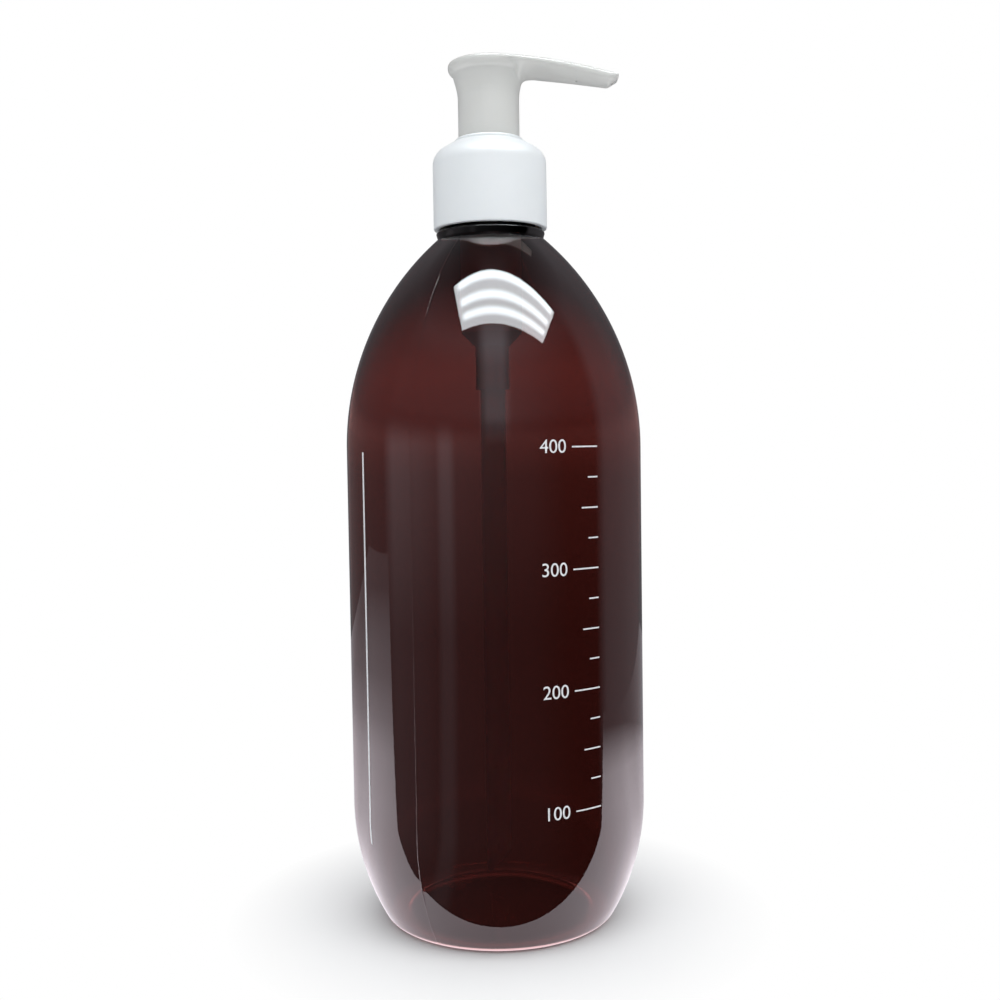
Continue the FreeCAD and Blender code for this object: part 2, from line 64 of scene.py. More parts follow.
def radius_of(node):
    """Reach of a solid from the axis, in millimetres."""
    low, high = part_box(node)
    return max(high[1], -low[1]) / MM


# Bottle, as the solid has it
BODY_RADIUS = radius_of("bottle")
LIP = levels("bottle")[1]
FOOT_HEIGHT = 28.2
STRAIGHT_HEIGHT = 84.6
FOOT_CURVE = 54.0
HEEL_RADIUS = 3.0
STANDING_RING = 3.0
BASE_RISE = 5.0
SHOULDER_CURVE = 66.0
WALL = 0.7
BEAD_HEIGHT = 2.0
FINISH_HEIGHT = 13.95
BEAD_RADIUS = 12.95
BEAD_TAPER = 0.35
BEAD_ROUND = 0.45
BEAD_FILLET = 0.4
FINISH_RADIUS = 10.8
NECK_BORE = 9.2
LIP_ROUND = 0.35
SHOULDER_START = FOOT_HEIGHT + STRAIGHT_HEIGHT
NECK_BASE = LIP - FINISH_HEIGHT - BEAD_HEIGHT
BEAD_TOP = LIP - FINISH_HEIGHT
# Levels between which the painted shade of the neck comes in
NECK_SHADE_LOW = NECK_BASE - 2.0
NECK_SHADE_HIGH = NECK_BASE + 0.3

# Closure
COLLAR_FOOT, MOUTH_LEVEL = levels("screw_collar")
COLLAR_RADIUS = radius_of("screw_collar")
COLLAR_BORE = 12.15
COLLAR_EDGE = 4.3
SIDE_TOP = 180.02
DOME_SLOPE = math.atan(0.577)
DOME_WALL = 1.5
MOUTH_RADIUS = 8.5
ROOF = 181.66
ROOF_BEARING = 10.55

# Screw threads of the neck and the closure
THREAD_PITCH = 3.175
THREAD_TURNS = 1.5
THREAD_START = BEAD_TOP + 4.2
THREAD_PHASE = 0.4
THREAD_PLAY = 0.1
NECK_CREST = 11.95
COLLAR_CREST = 11.0

# Spring, between the cage and the rod's head
SPRING_BOTTOM = 142.71
SPRING_TOP = 160.95
SPRING_RADIUS = 4.95
SPRING_WIRE = 0.8
SPRING_TURNS = 6
COIL_GAP = 0.06

# Pump head
PAD_RADIUS = 9.6
SKIRT_BOTTOM, PAD_TOP = levels("pump_head")
PAD_UNDERSIDE = 201.35
SKIRT_RADIUS = 7.3
SKIRT_BORE = 6.5
FLARE_TOP = 202.2
STEM_TOP = levels("stem")[1]
SOCKET_BORE = 3.52
SOCKET_RADIUS = 4.47
SOCKET_BOTTOM = STEM_TOP - 10
SPOUT_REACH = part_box("pump_head")[1][0] / MM
TIP_WIDTH = 6.8
TIP_SLANT = 2.5
TIP_EDGE = 0.8
TIP_DRAW = 0.12
CROWN_CURVE = 133.0
CROWN_FULLNESS = 0.42
CROWN_DEPTH = 1.3
KEEL_LEVEL = 203.46
KEEL_SLOPE = 0.18
KEEL_FULLNESS = 0.85
KEEL_SPREAD = 0.75
FILLET = 4.8
FILLET_END = 12.2
FILLET_RISE = 1.6
FILLET_LIMIT = 201.5
LOFT_START = 2.0
LOFT_STEP = 0.5
NOZZLE_RADIUS = 0.85
NOZZLE_LEVEL = 199.6
NOZZLE_FALL = 0.105
NOZZLE_ENDS = (-9, 6)
HEAD_VOXEL = 0.24
HEAD_SMOOTHING = 9

# Print on the straight side, by the angle from the front towards the spout
RULE_LOW = 22.5
RULE_HIGH = 112.4
RULE_HALF = 0.35
RULE_ANGLE = math.radians(-57)
SCALE_ANGLE = math.radians(40)
AMOUNTS = range(100, 401, 25)
TICK_LENGTHS = {100: 7.0, 50: 4.6, 25: 2.8}
TICK_HALF = 0.16
NUMBERED = 100
NUMBER_HEIGHT = 4.2
NUMBER_GAP = 1.4
INK_LIFT = 0.04
NUMBER_LIFT = 0.06
PRINT_STEP = 0.8

# Marks of the mould, by the angle from the front towards the spout
SEAM_ANGLES = (math.radians(-31), math.radians(149))
SEAM_WIDTH = 0.3
SEAM_HEIGHT = 0.05
SEAM_FOOT = 0.3

# Where a lathed form stops short of the axis: degrees of an arc, and millimetres
POLE = 89.9
AXIS = 0.01

# Noise values between which a finish passes from one end to the other
NOISE_LOW = 0.3
NOISE_HIGH = 0.7

# Colour sockets of the mix node, whose names stand for several kinds of data
COLOUR_A = 6
COLOUR_B = 7
COLOUR_RESULT = 2


def linear(code):
    """An sRGB hex code as a linear colour."""
    shades = [int(code[place:place + 2], 16) / 255 for place in (1, 3, 5)]
    return [s / 12.92 if s <= 0.04045 else ((s + 0.055) / 1.055) ** 2.4 for s in shades] + [1.0]


def add(tree, kind, settings=None, inputs=None):
    """Adds a node. An input is a number, a colour or another node's output socket."""
    node = tree.nodes.new(kind)
    for name, value in (settings or {}).items():
        setattr(node, name, value)
    for name, value in (inputs or {}).items():
        if isinstance(value, bpy.types.NodeSocket):
            tree.links.new(value, node.inputs[name])
        else:
            node.inputs[name].default_value = value
    return node


def new_material(name, **sockets):
    """A principled material with its constant sockets set."""
    made = bpy.data.materials.new(name)
    made.use_nodes = True
    shader = made.node_tree.nodes["Principled BSDF"]
    for socket, value in sockets.items():
        shader.inputs[socket.replace("_", " ")].default_value = value
    return made, made.node_tree, shader


def noise(tree, grain, detail, stretch=(1, 1, 1)):
    """Noise with grains of a size in millimetres, fixed to the object."""
    place = add(tree, "ShaderNodeTexCoord")
    mapping = add(tree, "ShaderNodeMapping", inputs={"Vector": place.outputs["Object"], "Scale": stretch})
    return add(tree, "ShaderNodeTexNoise", inputs={
        "Vector": mapping.outputs["Vector"], "Scale": 1 / (grain * MM), "Detail": detail}).outputs["Fac"]


def shift(tree, value, low, high):
    """A number's place between two ends, from 0 to 1."""
    return add(tree, "ShaderNodeMapRange", inputs={
        "Value": value, "From Min": low, "From Max": high}).outputs["Result"]


def calc(tree, operation, *numbers):
    """A number worked out from others."""
    return add(tree, "ShaderNodeMath", {"operation": operation}, dict(enumerate(numbers))).outputs["Value"]


def times(tree, first, second):
    """Two numbers multiplied."""
    return calc(tree, "MULTIPLY", first, second)


def blend(tree, factor, first, second):
    """A number that passes from one to another by a factor."""
    return add(tree, "ShaderNodeMix", {"data_type": "FLOAT"}, {
        "Factor": factor, "A": first, "B": second}).outputs["Result"]


def place_of(tree, system="Object"):
    """A place on the object, or a direction in the room, whole and as its three numbers."""
    whole = add(tree, "ShaderNodeTexCoord").outputs[system]
    return whole, add(tree, "ShaderNodeSeparateXYZ", inputs={"Vector": whole}).outputs


def distance(tree, place):
    """How far a place is from the middle of the foot."""
    return add(tree, "ShaderNodeVectorMath", {"operation": "LENGTH"}, {0: place}).outputs["Value"]


def vary(tree, shader, socket, factor, low, high):
    """Drives a number of the shader between two values by a noise."""
    spread = add(tree, "ShaderNodeMapRange", inputs={
        "Value": factor, "From Min": NOISE_LOW, "From Max": NOISE_HIGH, "To Min": low, "To Max": high})
    tree.links.new(spread.outputs["Result"], shader.inputs[socket])


def tint(tree, shader, factor, first, second):
    """Drives the base colour between two hex codes by a noise, and returns it."""
    ramp = add(tree, "ShaderNodeValToRGB", inputs={"Fac": factor})
    low, high = ramp.color_ramp.elements
    low.position = NOISE_LOW
    high.position = NOISE_HIGH
    low.color = linear(first)
    high.color = linear(second)
    tree.links.new(ramp.outputs["Color"], shader.inputs["Base Color"])
    return ramp.outputs["Color"]


def bump(tree, shader, height, depth):
    """Raises the surface by a height texture, with its depth in millimetres."""
    node = add(tree, "ShaderNodeBump", inputs={"Height": height, "Distance": depth * MM, "Strength": 1.0})
    tree.links.new(node.outputs["Normal"], shader.inputs["Normal"])


def blown_amber_pet():
    """Stretch-blown PET: glass-clear and glossy, tinted dark amber, with the slow waves that blowing leaves.

    From the shoulder's top up, the colour is near black: painted shade under the collar, partly the neck's
    heavier wall.
    """
    made, tree, shader = new_material("blown_amber_pet", IOR=1.575, Transmission_Weight=1.0)
    blown = tint(tree, shader, noise(tree, 60, 1.0), "#98605a", "#9f6660")
    spot = place_of(tree)[1]
    # Painted shade: from just below the neck up, the base colour goes to near black for the shade under the
    # collar; in part it also stands for the neck's heavier unblown wall
    neck = shift(tree, spot["Z"], NECK_SHADE_LOW * MM, NECK_SHADE_HIGH * MM)
    neck_shade = add(tree, "ShaderNodeMix", {"data_type": "RGBA"}, {
        "Factor": neck, COLOUR_A: blown, COLOUR_B: linear("#2a1410")})
    tree.links.new(neck_shade.outputs[COLOUR_RESULT], shader.inputs["Base Color"])
    vary(tree, shader, "Roughness", noise(tree, 2.5, 4.0), 0.012, 0.03)
    bump(tree, shader, noise(tree, 34, 1.0, (1, 1, 0.35)), 0.25)
    return made


def moulded_white_pp(name, light, dark, rough):
    """Injection-moulded polypropylene: opaque white with a soft glow under a satin skin."""
    made, tree, shader = new_material(name, IOR=1.49, Subsurface_Weight=0.12, Subsurface_Scale=0.0012)
    shader.inputs["Subsurface Radius"].default_value = (1.0, 0.9, 0.8)
    tint(tree, shader, noise(tree, 14, 2.0), dark, light)
    vary(tree, shader, "Roughness", noise(tree, 0.9, 4.0), rough - 0.04, rough + 0.04)
    bump(tree, shader, noise(tree, 0.35, 2.0), 0.01)
    return made


def milky_plastic(name, light, dark, clear, rough):
    """Polypropylene or polyethylene without pigment: milky white that lets some light through."""
    made, tree, shader = new_material(name, IOR=1.5, Transmission_Weight=clear, Subsurface_Weight=0.2,
                                      Subsurface_Scale=0.002)
    tint(tree, shader, noise(tree, 9, 2.0), dark, light)
    vary(tree, shader, "Roughness", noise(tree, 1.2, 3.0), rough - 0.05, rough + 0.05)
    bump(tree, shader, noise(tree, 0.5, 2.0), 0.01)
    return made


def drawn_stainless(name, rough, grain, stretch):
    """Stainless steel, drawn or polished: grey-white metal with fine streaks or none."""
    made, tree, shader = new_material(name, Metallic=1.0)
    tint(tree, shader, noise(tree, 3, 2.0), "#c4c5c4", "#d2d3d2")
    vary(tree, shader, "Roughness", noise(tree, grain, 3.0, stretch), rough - 0.05, rough + 0.06)
    return made


def pressed_foam():
    """Polyethylene foam pressed thin: dull white, with cells drawn coarse so that they show."""
    made, tree, shader = new_material("pressed_pe_foam", IOR=1.5, Roughness=0.75)
    tint(tree, shader, noise(tree, 0.5, 3.0), "#d9d9d4", "#f1f1ed")
    bump(tree, shader, noise(tree, 0.4, 2.0), 0.06)
    return made


def printed_ink():
    """White screen ink: thin, even and a little matt beside the glossy wall."""
    made, tree, shader = new_material("screen_printed_white_ink", IOR=1.5)
    tint(tree, shader, noise(tree, 0.6, 3.0), "#d8dadc", "#f0f1f2")
    vary(tree, shader, "Roughness", noise(tree, 0.4, 2.0), 0.4, 0.55)
    return made


AMBER = blown_amber_pet()
COLLAR_WHITE = moulded_white_pp("moulded_white_pp", "#f3f6f7", "#eff3f4", 0.42)
HEAD_WHITE = moulded_white_pp("moulded_satin_white_pp", "#dcdcd8", "#d7d7d3", 0.34)
STEM_WHITE = moulded_white_pp("moulded_white_pp_stem", "#eeeeee", "#e8e8e8", 0.36)
NATURAL = milky_plastic("moulded_natural_pp", "#e6e8e6", "#dcdedc", 0.2, 0.35)
TUBE = milky_plastic("extruded_natural_pe_tube", "#e4e6e4", "#dadcda", 0.2, 0.32)
PISTON = milky_plastic("moulded_soft_pe_piston", "#e9e9e4", "#dfdfd9", 0.1, 0.45)
WIRE = drawn_stainless("drawn_stainless_wire", 0.27, 0.6, (1, 1, 6))
BALL = drawn_stainless("polished_stainless_ball", 0.1, 1.5, (1, 1, 1))
FOAM = pressed_foam()
INK = printed_ink()


def arc(across, up, radius, begin, end, steps):
    """Points of an arc in the plane of radius and height, angles in degrees."""
    angles = [math.radians(begin + (end - begin) * step / steps) for step in range(steps + 1)]
    return [(across + radius * math.cos(angle), up + radius * math.sin(angle)) for angle in angles]


def run(first, last, steps):
    """Points of a straight stretch, without its ends."""
    return [tuple(a + (b - a) * step / steps for a, b in zip(first, last)) for step in range(1, steps)]


def make_object(name, points, faces, material, body):
    """A smooth piece from points in millimetres, which rides on a body."""
    mesh = bpy.data.meshes.new(name)
    mesh.from_pydata([Vector(point) * MM for point in points], [], faces)
    mesh.validate()
    mesh.update()
    mesh.shade_smooth()
    mesh.materials.append(material)
    made = bpy.data.objects.new(name, mesh)
    bpy.context.collection.objects.link(made)
    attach(made, body)
    return made


def even_normals(piece, angle):
    """Keeps corners sharper than an angle, and flat stretches flat beside small rounds."""
    piece.data.set_sharp_from_angle(angle=math.radians(angle))
    piece.modifiers.new("even_normals", "WEIGHTED_NORMAL").keep_sharp = True


def lathe(profile, turns, closed):
    """Points and faces of a profile of radius and height carried round by angles from the front."""
    points = []
    for angle in turns:
        points += [(radius * math.sin(angle), -radius * math.cos(angle), up) for radius, up in profile]
    count = len(profile)
    faces = []
    for turn in range(len(turns)):
        here, there = turn * count, (turn + 1) % len(turns) * count
        for step in range(count if closed else count - 1):
            after = (step + 1) % count
            faces.append((here + step, there + step, there + after, here + after))
    return points, faces


def even_turns(count):
    """Angles of one whole turn, in even steps."""
    return [math.tau * step / count for step in range(count)]


def net(rows, count, closed):
    """Faces between rows of points, where each row is a ring or an open line."""
    faces = []
    for row in range(rows - 1):
        here, there = row * count, (row + 1) * count
        for step in range(count if closed else count - 1):
            after = (step + 1) % count
            faces.append((here + step, there + step, there + after, here + after))
    return faces


def bottle_profile():
    """The outside from the middle of the base to the lip, and the inside from the lip back to the base."""
    foot_across = BODY_RADIUS - FOOT_CURVE
    heel_reach = math.sqrt((FOOT_CURVE - HEEL_RADIUS) ** 2 - (FOOT_HEIGHT - HEEL_RADIUS) ** 2)
    heel_across = foot_across + heel_reach
    heel_angle = math.degrees(math.atan2(HEEL_RADIUS - FOOT_HEIGHT, heel_reach))
    ring = heel_across - STANDING_RING
    base_curve = (ring ** 2 + BASE_RISE ** 2) / (2 * BASE_RISE)
    base_angle = math.degrees(math.asin(ring / base_curve))
    shoulder_across = BODY_RADIUS - SHOULDER_CURVE
    outside = arc(0, BASE_RISE - base_curve, base_curve, POLE, 90 - base_angle, 24)
    outside += [(ring + 0.25, 0.02), (ring + 0.6, 0)] + run((ring + 0.6, 0), (heel_across, 0), 3)
    outside += arc(heel_across, HEEL_RADIUS, HEEL_RADIUS, -90, heel_angle, 12)
    outside += arc(foot_across, FOOT_HEIGHT, FOOT_CURVE, heel_angle, 0, 30)[1:]
    outside += run((BODY_RADIUS, FOOT_HEIGHT), (BODY_RADIUS, SHOULDER_START), 12)
    neck_angle = math.degrees(math.acos((BEAD_RADIUS - BEAD_TAPER - shoulder_across) / SHOULDER_CURVE))
    outside += arc(shoulder_across, SHOULDER_START, SHOULDER_CURVE, 0, neck_angle, 48)
    outside += arc(BEAD_RADIUS - BEAD_ROUND, BEAD_TOP - BEAD_ROUND, BEAD_ROUND, -10, 90, 6)
    outside += arc(FINISH_RADIUS + BEAD_FILLET, BEAD_TOP + BEAD_FILLET, BEAD_FILLET, 270, 180, 4)
    outside += run((FINISH_RADIUS, BEAD_TOP + BEAD_FILLET), (FINISH_RADIUS, LIP - LIP_ROUND), 4)
    outside += arc(FINISH_RADIUS - LIP_ROUND, LIP - LIP_ROUND, LIP_ROUND, 0, 90, 5)
    inside = arc(NECK_BORE + LIP_ROUND, LIP - LIP_ROUND, LIP_ROUND, 90, 180, 5)
    inner_angle = math.degrees(math.acos((NECK_BORE - shoulder_across) / (SHOULDER_CURVE - WALL)))
    inside += arc(shoulder_across, SHOULDER_START, SHOULDER_CURVE - WALL, inner_angle, 0, 40)
    inside += run((BODY_RADIUS - WALL, SHOULDER_START), (BODY_RADIUS - WALL, FOOT_HEIGHT), 12)
    inside += arc(foot_across, FOOT_HEIGHT, FOOT_CURVE - WALL, 0, heel_angle, 24)
    inside += arc(heel_across, HEEL_RADIUS, HEEL_RADIUS - WALL, heel_angle, -90, 8)[1:]
    inner_base = base_curve + WALL
    inner_end = math.degrees(math.acos((base_curve - BASE_RISE + WALL) / inner_base))
    inside += arc(0, BASE_RISE - base_curve, inner_base, 90 - inner_end, POLE, 20)
    return outside, inside


def from_seam(turn, seam):
    """The angle between a direction and a seam of the mould."""
    return abs(math.remainder(turn - seam, math.tau))


def build_bottle():
    """The blown shell, with a fine ridge up each seam of the mould."""
    outside, inside = bottle_profile()
    profile = outside + inside
    count = len(profile)
    half_width = SEAM_WIDTH / 2 / BODY_RADIUS
    turns = even_turns(160)
    for seam in SEAM_ANGLES:
        turns = [turn for turn in turns if from_seam(turn, seam) > 1.2 * half_width]
        turns += [(seam + part * half_width) % math.tau for part in (-1, -0.5, 0, 0.5, 1)]
    turns.sort()
    points, faces = lathe(profile, turns, False)
    for place, point in enumerate(points):
        turn, step = turns[place // count], place % count
        off = min(from_seam(turn, seam) for seam in SEAM_ANGLES) / half_width
        if off < 0.99 and step < len(outside) and point[2] > SEAM_FOOT:
            across = math.hypot(point[0], point[1])
            grow = 1 + SEAM_HEIGHT * (1 - off ** 2) * min(1, across / BODY_RADIUS) / across
            points[place] = (point[0] * grow, point[1] * grow, point[2])
    for step, level, inner in ((0, BASE_RISE, False), (count - 1, BASE_RISE + WALL, True)):
        middle = len(points)
        points.append((0, 0, level))
        for turn in range(len(turns)):
            here, there = turn * count + step, (turn + 1) % len(turns) * count + step
            faces.append((middle, here, there) if inner else (middle, there, here))
    bottle = make_object("blown_bottle", points, faces, AMBER, "bottle")
    even_normals(bottle, 50)
    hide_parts("bottle")


def rounded_outline(corners, steps=4):
    """A closed outline from corners, each a place and the radius that rounds it."""
    points = []
    for place, corner in enumerate(corners):
        before, here, after = (Vector(corners[(place + offset) % len(corners)][:2]) for offset in (-1, 0, 1))
        radius = corner[2]
        back, ahead = (before - here).normalized(), (after - here).normalized()
        bend = back.angle(ahead)
        if not radius or bend > math.radians(175):
            points.append(tuple(here))
            continue
        cut = radius / math.tan(bend / 2)
        hub = here + (back + ahead).normalized() * (radius / math.sin(bend / 2))
        first, last = here + back * cut - hub, here + ahead * cut - hub
        sweep = first.angle_signed(last)
        for step in range(steps + 1):
            points.append(tuple(hub + Matrix.Rotation(-sweep * step / steps, 2) @ first))
    return points


def build_collar():
    """The smooth closure: a straight side that rounds over into a dome with a mouth for the head."""
    dome_across = COLLAR_RADIUS - COLLAR_EDGE + COLLAR_EDGE * math.sin(DOME_SLOPE)
    dome_up = SIDE_TOP + COLLAR_EDGE * math.cos(DOME_SLOPE)
    dome = arc(COLLAR_RADIUS - COLLAR_EDGE, SIDE_TOP, COLLAR_EDGE, 0, 90 - math.degrees(DOME_SLOPE), 14)
    lining = DOME_WALL / math.cos(DOME_SLOPE)
    bearing_up = dome_up + (dome_across - ROOF_BEARING) * math.tan(DOME_SLOPE) - lining
    corners = [(COLLAR_BORE, COLLAR_FOOT, 0.3), (COLLAR_RADIUS, COLLAR_FOOT, 0.35)]
    corners += [(COLLAR_RADIUS, COLLAR_FOOT + 4, 0), (COLLAR_RADIUS, COLLAR_FOOT + 10, 0)]
    corners += [(across, up, 0) for across, up in dome]
    corners += [(MOUTH_RADIUS, MOUTH_LEVEL, 0.25), (MOUTH_RADIUS, MOUTH_LEVEL - lining, 0.2)]
    corners += [(ROOF_BEARING, bearing_up, 0.1), (ROOF_BEARING, ROOF, 0.1), (COLLAR_BORE, ROOF, 0.2)]
    points, faces = lathe(rounded_outline(corners), even_turns(128), True)
    collar = make_object("screw_closure", points, faces, COLLAR_WHITE, "collar")
    even_normals(collar, 40)
    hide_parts("screw_collar")


def thread(name, root, crest, start, material, body):
    """A round-crested screw thread that runs out at both ends."""
    steps = int(96 * THREAD_TURNS)
    section = [(-0.9, 0.0), (-0.55, 0.55), (-0.3, 0.9), (0.0, 1.0), (0.3, 0.9), (0.55, 0.55), (0.9, 0.0)]
    points = []
    for step in range(steps + 1):
        turn = THREAD_TURNS * step / steps
        angle = THREAD_PHASE + math.tau * turn
        fade = min(1.0, 10 * step / steps, 10 * (steps - step) / steps) ** 0.6
        for along, rise in section:
            radius = root + (crest - root) * (rise * fade - 0.04 * (1 - rise))
            up = start + THREAD_PITCH * turn + along * (0.35 + 0.65 * fade)
            points.append((radius * math.cos(angle), radius * math.sin(angle), up))
    faces = net(steps + 1, len(section), False)
    if crest < root:
        faces = [face[::-1] for face in faces]
    make_object(name, points, faces, material, body)


def build_threads():
    """The neck's thread and, half a pitch below it, the closure's."""
    below = THREAD_START - THREAD_PITCH / 2 - THREAD_PLAY
    thread("neck_thread", FINISH_RADIUS, NECK_CREST, THREAD_START, AMBER, "bottle")
    thread("collar_thread", COLLAR_BORE, COLLAR_CREST, below, COLLAR_WHITE, "collar")


def build_spring():
    """Wound wire with a closed coil at each end."""
    wire, sides, steps = SPRING_WIRE / 2, 10, 64 * SPRING_TURNS
    low, high = SPRING_BOTTOM + wire, SPRING_TOP - wire
    closed = SPRING_WIRE + COIL_GAP
    middle = (high - low - 2 * closed) / (SPRING_TURNS - 2)
    points = []
    for step in range(steps + 1):
        turn = SPRING_TURNS * step / steps
        up = low + closed * min(turn, 1) + middle * min(max(turn - 1, 0), SPRING_TURNS - 2)
        up += closed * max(turn - SPRING_TURNS + 1, 0)
        angle = math.tau * turn
        for around in even_turns(sides):
            radius = SPRING_RADIUS + wire * math.cos(around)
            points.append((radius * math.cos(angle), radius * math.sin(angle), up + wire * math.sin(around)))
    faces = net(steps + 1, sides, True)
    faces.append(tuple(range(sides)))
    faces.append(tuple(range(steps * sides, (steps + 1) * sides))[::-1])
    spring = make_object("wound_spring", points, faces, WIRE, "spring")
    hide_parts("return_spring")
    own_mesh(spring)


def crown_level(across):
    """The level of the head's upper face at a distance from the axis."""
    return PAD_TOP - across ** 2 / (2 * CROWN_CURVE)


def head_plan(across):
    """Half the head's width at a distance along the spout: a round pad drawn out by tangent sides."""
    half_tip = TIP_WIDTH / 2
    lean = math.atan2(half_tip, SPOUT_REACH) + math.acos(PAD_RADIUS / math.hypot(SPOUT_REACH, half_tip))
    touch = PAD_RADIUS * math.cos(lean)
    if across < touch:
        return math.sqrt(max(PAD_RADIUS ** 2 - across ** 2, 0))
    side = PAD_RADIUS * math.sin(lean)
    return side + (half_tip - side) * (across - touch) / (SPOUT_REACH - touch)


def head_section(across, sides):
    """A boat-shaped section of the spout: full at the crown, drawn in to a keel that runs into the skirt."""
    top = crown_level(across)
    under = KEEL_LEVEL - KEEL_SLOPE * across
    keel_fullness = KEEL_FULLNESS
    if across < FILLET_END:
        start = FILLET_END - FILLET
        near = min(FILLET_END - max(across, start), FILLET)
        under += math.sqrt(FILLET ** 2 - near ** 2) - FILLET
        under = min(under + max(0.0, start - across) * FILLET_RISE, FILLET_LIMIT)
        keel_fullness += KEEL_SPREAD * near / FILLET
    past_slant = max(0.0, across - SPOUT_REACH + TIP_SLANT) / TIP_SLANT
    under += (top - TIP_EDGE - under) * past_slant
    middle = max(top - CROWN_DEPTH, (top + under) / 2)
    width = head_plan(across) * (1 - TIP_DRAW * past_slant ** 4)
    points = []
    for angle in even_turns(sides):
        above = math.sin(angle) > 0
        fullness = CROWN_FULLNESS if above else keel_fullness
        reach = math.copysign(abs(math.cos(angle)) ** fullness, math.cos(angle)) * width
        height = abs(math.sin(angle)) ** fullness * (top - middle if above else middle - under)
        points.append((across, reach, middle + math.copysign(height, math.sin(angle))))
    return points


def joined(parts):
    """Points and faces of several meshes as one."""
    points, faces = [], []
    for some_points, some_faces in parts:
        faces += [tuple(index + len(points) for index in face) for face in some_faces]
        points += some_points
    return points, faces


def spout_loft(sides):
    """Points and faces of the spout, from inside the pad to its tip."""
    steps = int((SPOUT_REACH - LOFT_START) / LOFT_STEP)
    stations = [LOFT_START + step * LOFT_STEP for step in range(steps + 1)] + [SPOUT_REACH - 0.05]
    points = [point for across in stations for point in head_section(across, sides)]
    faces = net(len(stations), sides, True)
    return points, faces + [tuple(range(sides)), tuple(range(len(points) - 1, len(points) - sides - 1, -1))]


def nozzle_cutter(tip):
    """A round bar along the nozzle, to be cut from the head."""
    along = Vector((1, 0, -NOZZLE_FALL)).normalized()
    across = Vector((0, 1, 0))
    up = along.cross(across)
    points, sides = [], 32
    for end in NOZZLE_ENDS:
        for angle in even_turns(sides):
            rim = (across * math.cos(angle) + up * math.sin(angle)) * NOZZLE_RADIUS * MM
            points.append(tip + along * end * MM + rim)
    faces = [(s, (s + 1) % sides, sides + (s + 1) % sides, sides + s) for s in range(sides)]
    faces += [tuple(range(sides - 1, -1, -1)), tuple(range(sides, 2 * sides))]
    mesh = bpy.data.meshes.new("nozzle_cutter")
    mesh.from_pydata(points, [], faces)
    made = bpy.data.objects.new("nozzle_cutter", mesh)
    bpy.context.collection.objects.link(made)
    return made


def mesh_of(piece):
    """The mesh that an object's modifiers or text give."""
    return bpy.data.meshes.new_from_object(piece.evaluated_get(bpy.context.evaluated_depsgraph_get()))


def build_head():
    """The moulded head, with the pad, spout, flare and skirt run together as one soft form."""
    crown = [(across, crown_level(across)) for across in (AXIS, 3, 5.5, 7.8, 8.8)]
    rim = [(9.3, 203.85), (9.55, 203.55), (PAD_RADIUS, 202.9), (9.52, 202.4), (9.3, 201.95), (8.95, 201.6)]
    pad = crown + rim + [(8.1, PAD_UNDERSIDE), (AXIS, PAD_UNDERSIDE)]
    flare = [(SKIRT_RADIUS, 196.0), (7.42, 197.2), (7.8, 198.9), (8.3, 200.6), (8.5, 201.6), (8.4, FLARE_TOP)]
    shell = [(SKIRT_BORE, SKIRT_BOTTOM), (SKIRT_RADIUS, SKIRT_BOTTOM)] + flare
    shell += [(AXIS, FLARE_TOP), (AXIS, STEM_TOP), (SOCKET_BORE, STEM_TOP), (SOCKET_BORE, SOCKET_BOTTOM)]
    shell += [(SOCKET_RADIUS, SOCKET_BOTTOM), (SOCKET_RADIUS, STEM_TOP), (SKIRT_BORE, STEM_TOP)]
    turns = even_turns(96)
    points, faces = joined([spout_loft(48), lathe(pad, turns, True), lathe(shell[::-1], turns, True)])
    head = make_object("moulded_head", points, faces, HEAD_WHITE, "plunger")
    grid = head.modifiers.new("one_form", "REMESH")
    grid.mode = "VOXEL"
    grid.voxel_size = HEAD_VOXEL * MM
    soft = head.modifiers.new("soft_edges", "SMOOTH")
    soft.factor = 0.5
    soft.iterations = HEAD_SMOOTHING
    bore = nozzle_cutter(Vector((SPOUT_REACH - TIP_SLANT / 2, 0, NOZZLE_LEVEL)) * MM)
    cut = head.modifiers.new("nozzle_bore", "BOOLEAN")
    cut.operation = "DIFFERENCE"
    cut.object = bore
    cut.solver = "EXACT"
    shaped = mesh_of(head)
    head.modifiers.clear()
    head.data = shaped
    bpy.data.objects.remove(bore)
    shaped.materials.clear()
    shaped.materials.append(HEAD_WHITE)
    shaped.shade_smooth()
    shaped.set_sharp_from_angle(angle=math.radians(50))
    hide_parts("pump_head")


def on_side(across, up, angle, lift=INK_LIFT):
    """A point of the side, from millimetres along it and up it and the angle from the front."""
    turn = angle + across / BODY_RADIUS
    below = max(0.0, FOOT_HEIGHT - up)
    radius = BODY_RADIUS - FOOT_CURVE + math.sqrt(FOOT_CURVE ** 2 - below ** 2) + lift
    return radius * math.sin(turn), -radius * math.cos(turn), up


def printed_bar(left, right, low, high, angle):
    """Points and faces of a printed rule that follows the side."""
    columns, rows = (max(2, int(length / PRINT_STEP) + 1) for length in (right - left, high - low))
    points, faces = [], []
    for row in range(rows):
        up = low + (high - low) * row / (rows - 1)
        for step in range(columns):
            points.append(on_side(left + (right - left) * step / (columns - 1), up, angle))
    for row in range(rows - 1):
        for step in range(columns - 1):
            here = row * columns + step
            faces.append((here, here + 1, here + columns + 1, here + columns))
    return points, faces


def printed_number(words, right, middle, angle):
    """Points and faces of a number that ends at a place on the side."""
    curve = bpy.data.curves.new("number", "FONT")
    curve.body = words
    curve.size = NUMBER_HEIGHT
    curve.align_x = "RIGHT"
    curve.align_y = "CENTER"
    holder = bpy.data.objects.new("number", curve)
    bpy.context.collection.objects.link(holder)
    bpy.context.view_layer.update()
    flat = mesh_of(holder)
    places = [vertex.co for vertex in flat.vertices]
    points = [on_side(right + place.x, middle + place.y, angle, NUMBER_LIFT) for place in places]
    faces = [tuple(polygon.vertices) for polygon in flat.polygons]
    bpy.data.objects.remove(holder)
    bpy.data.meshes.remove(flat)
    return points, faces


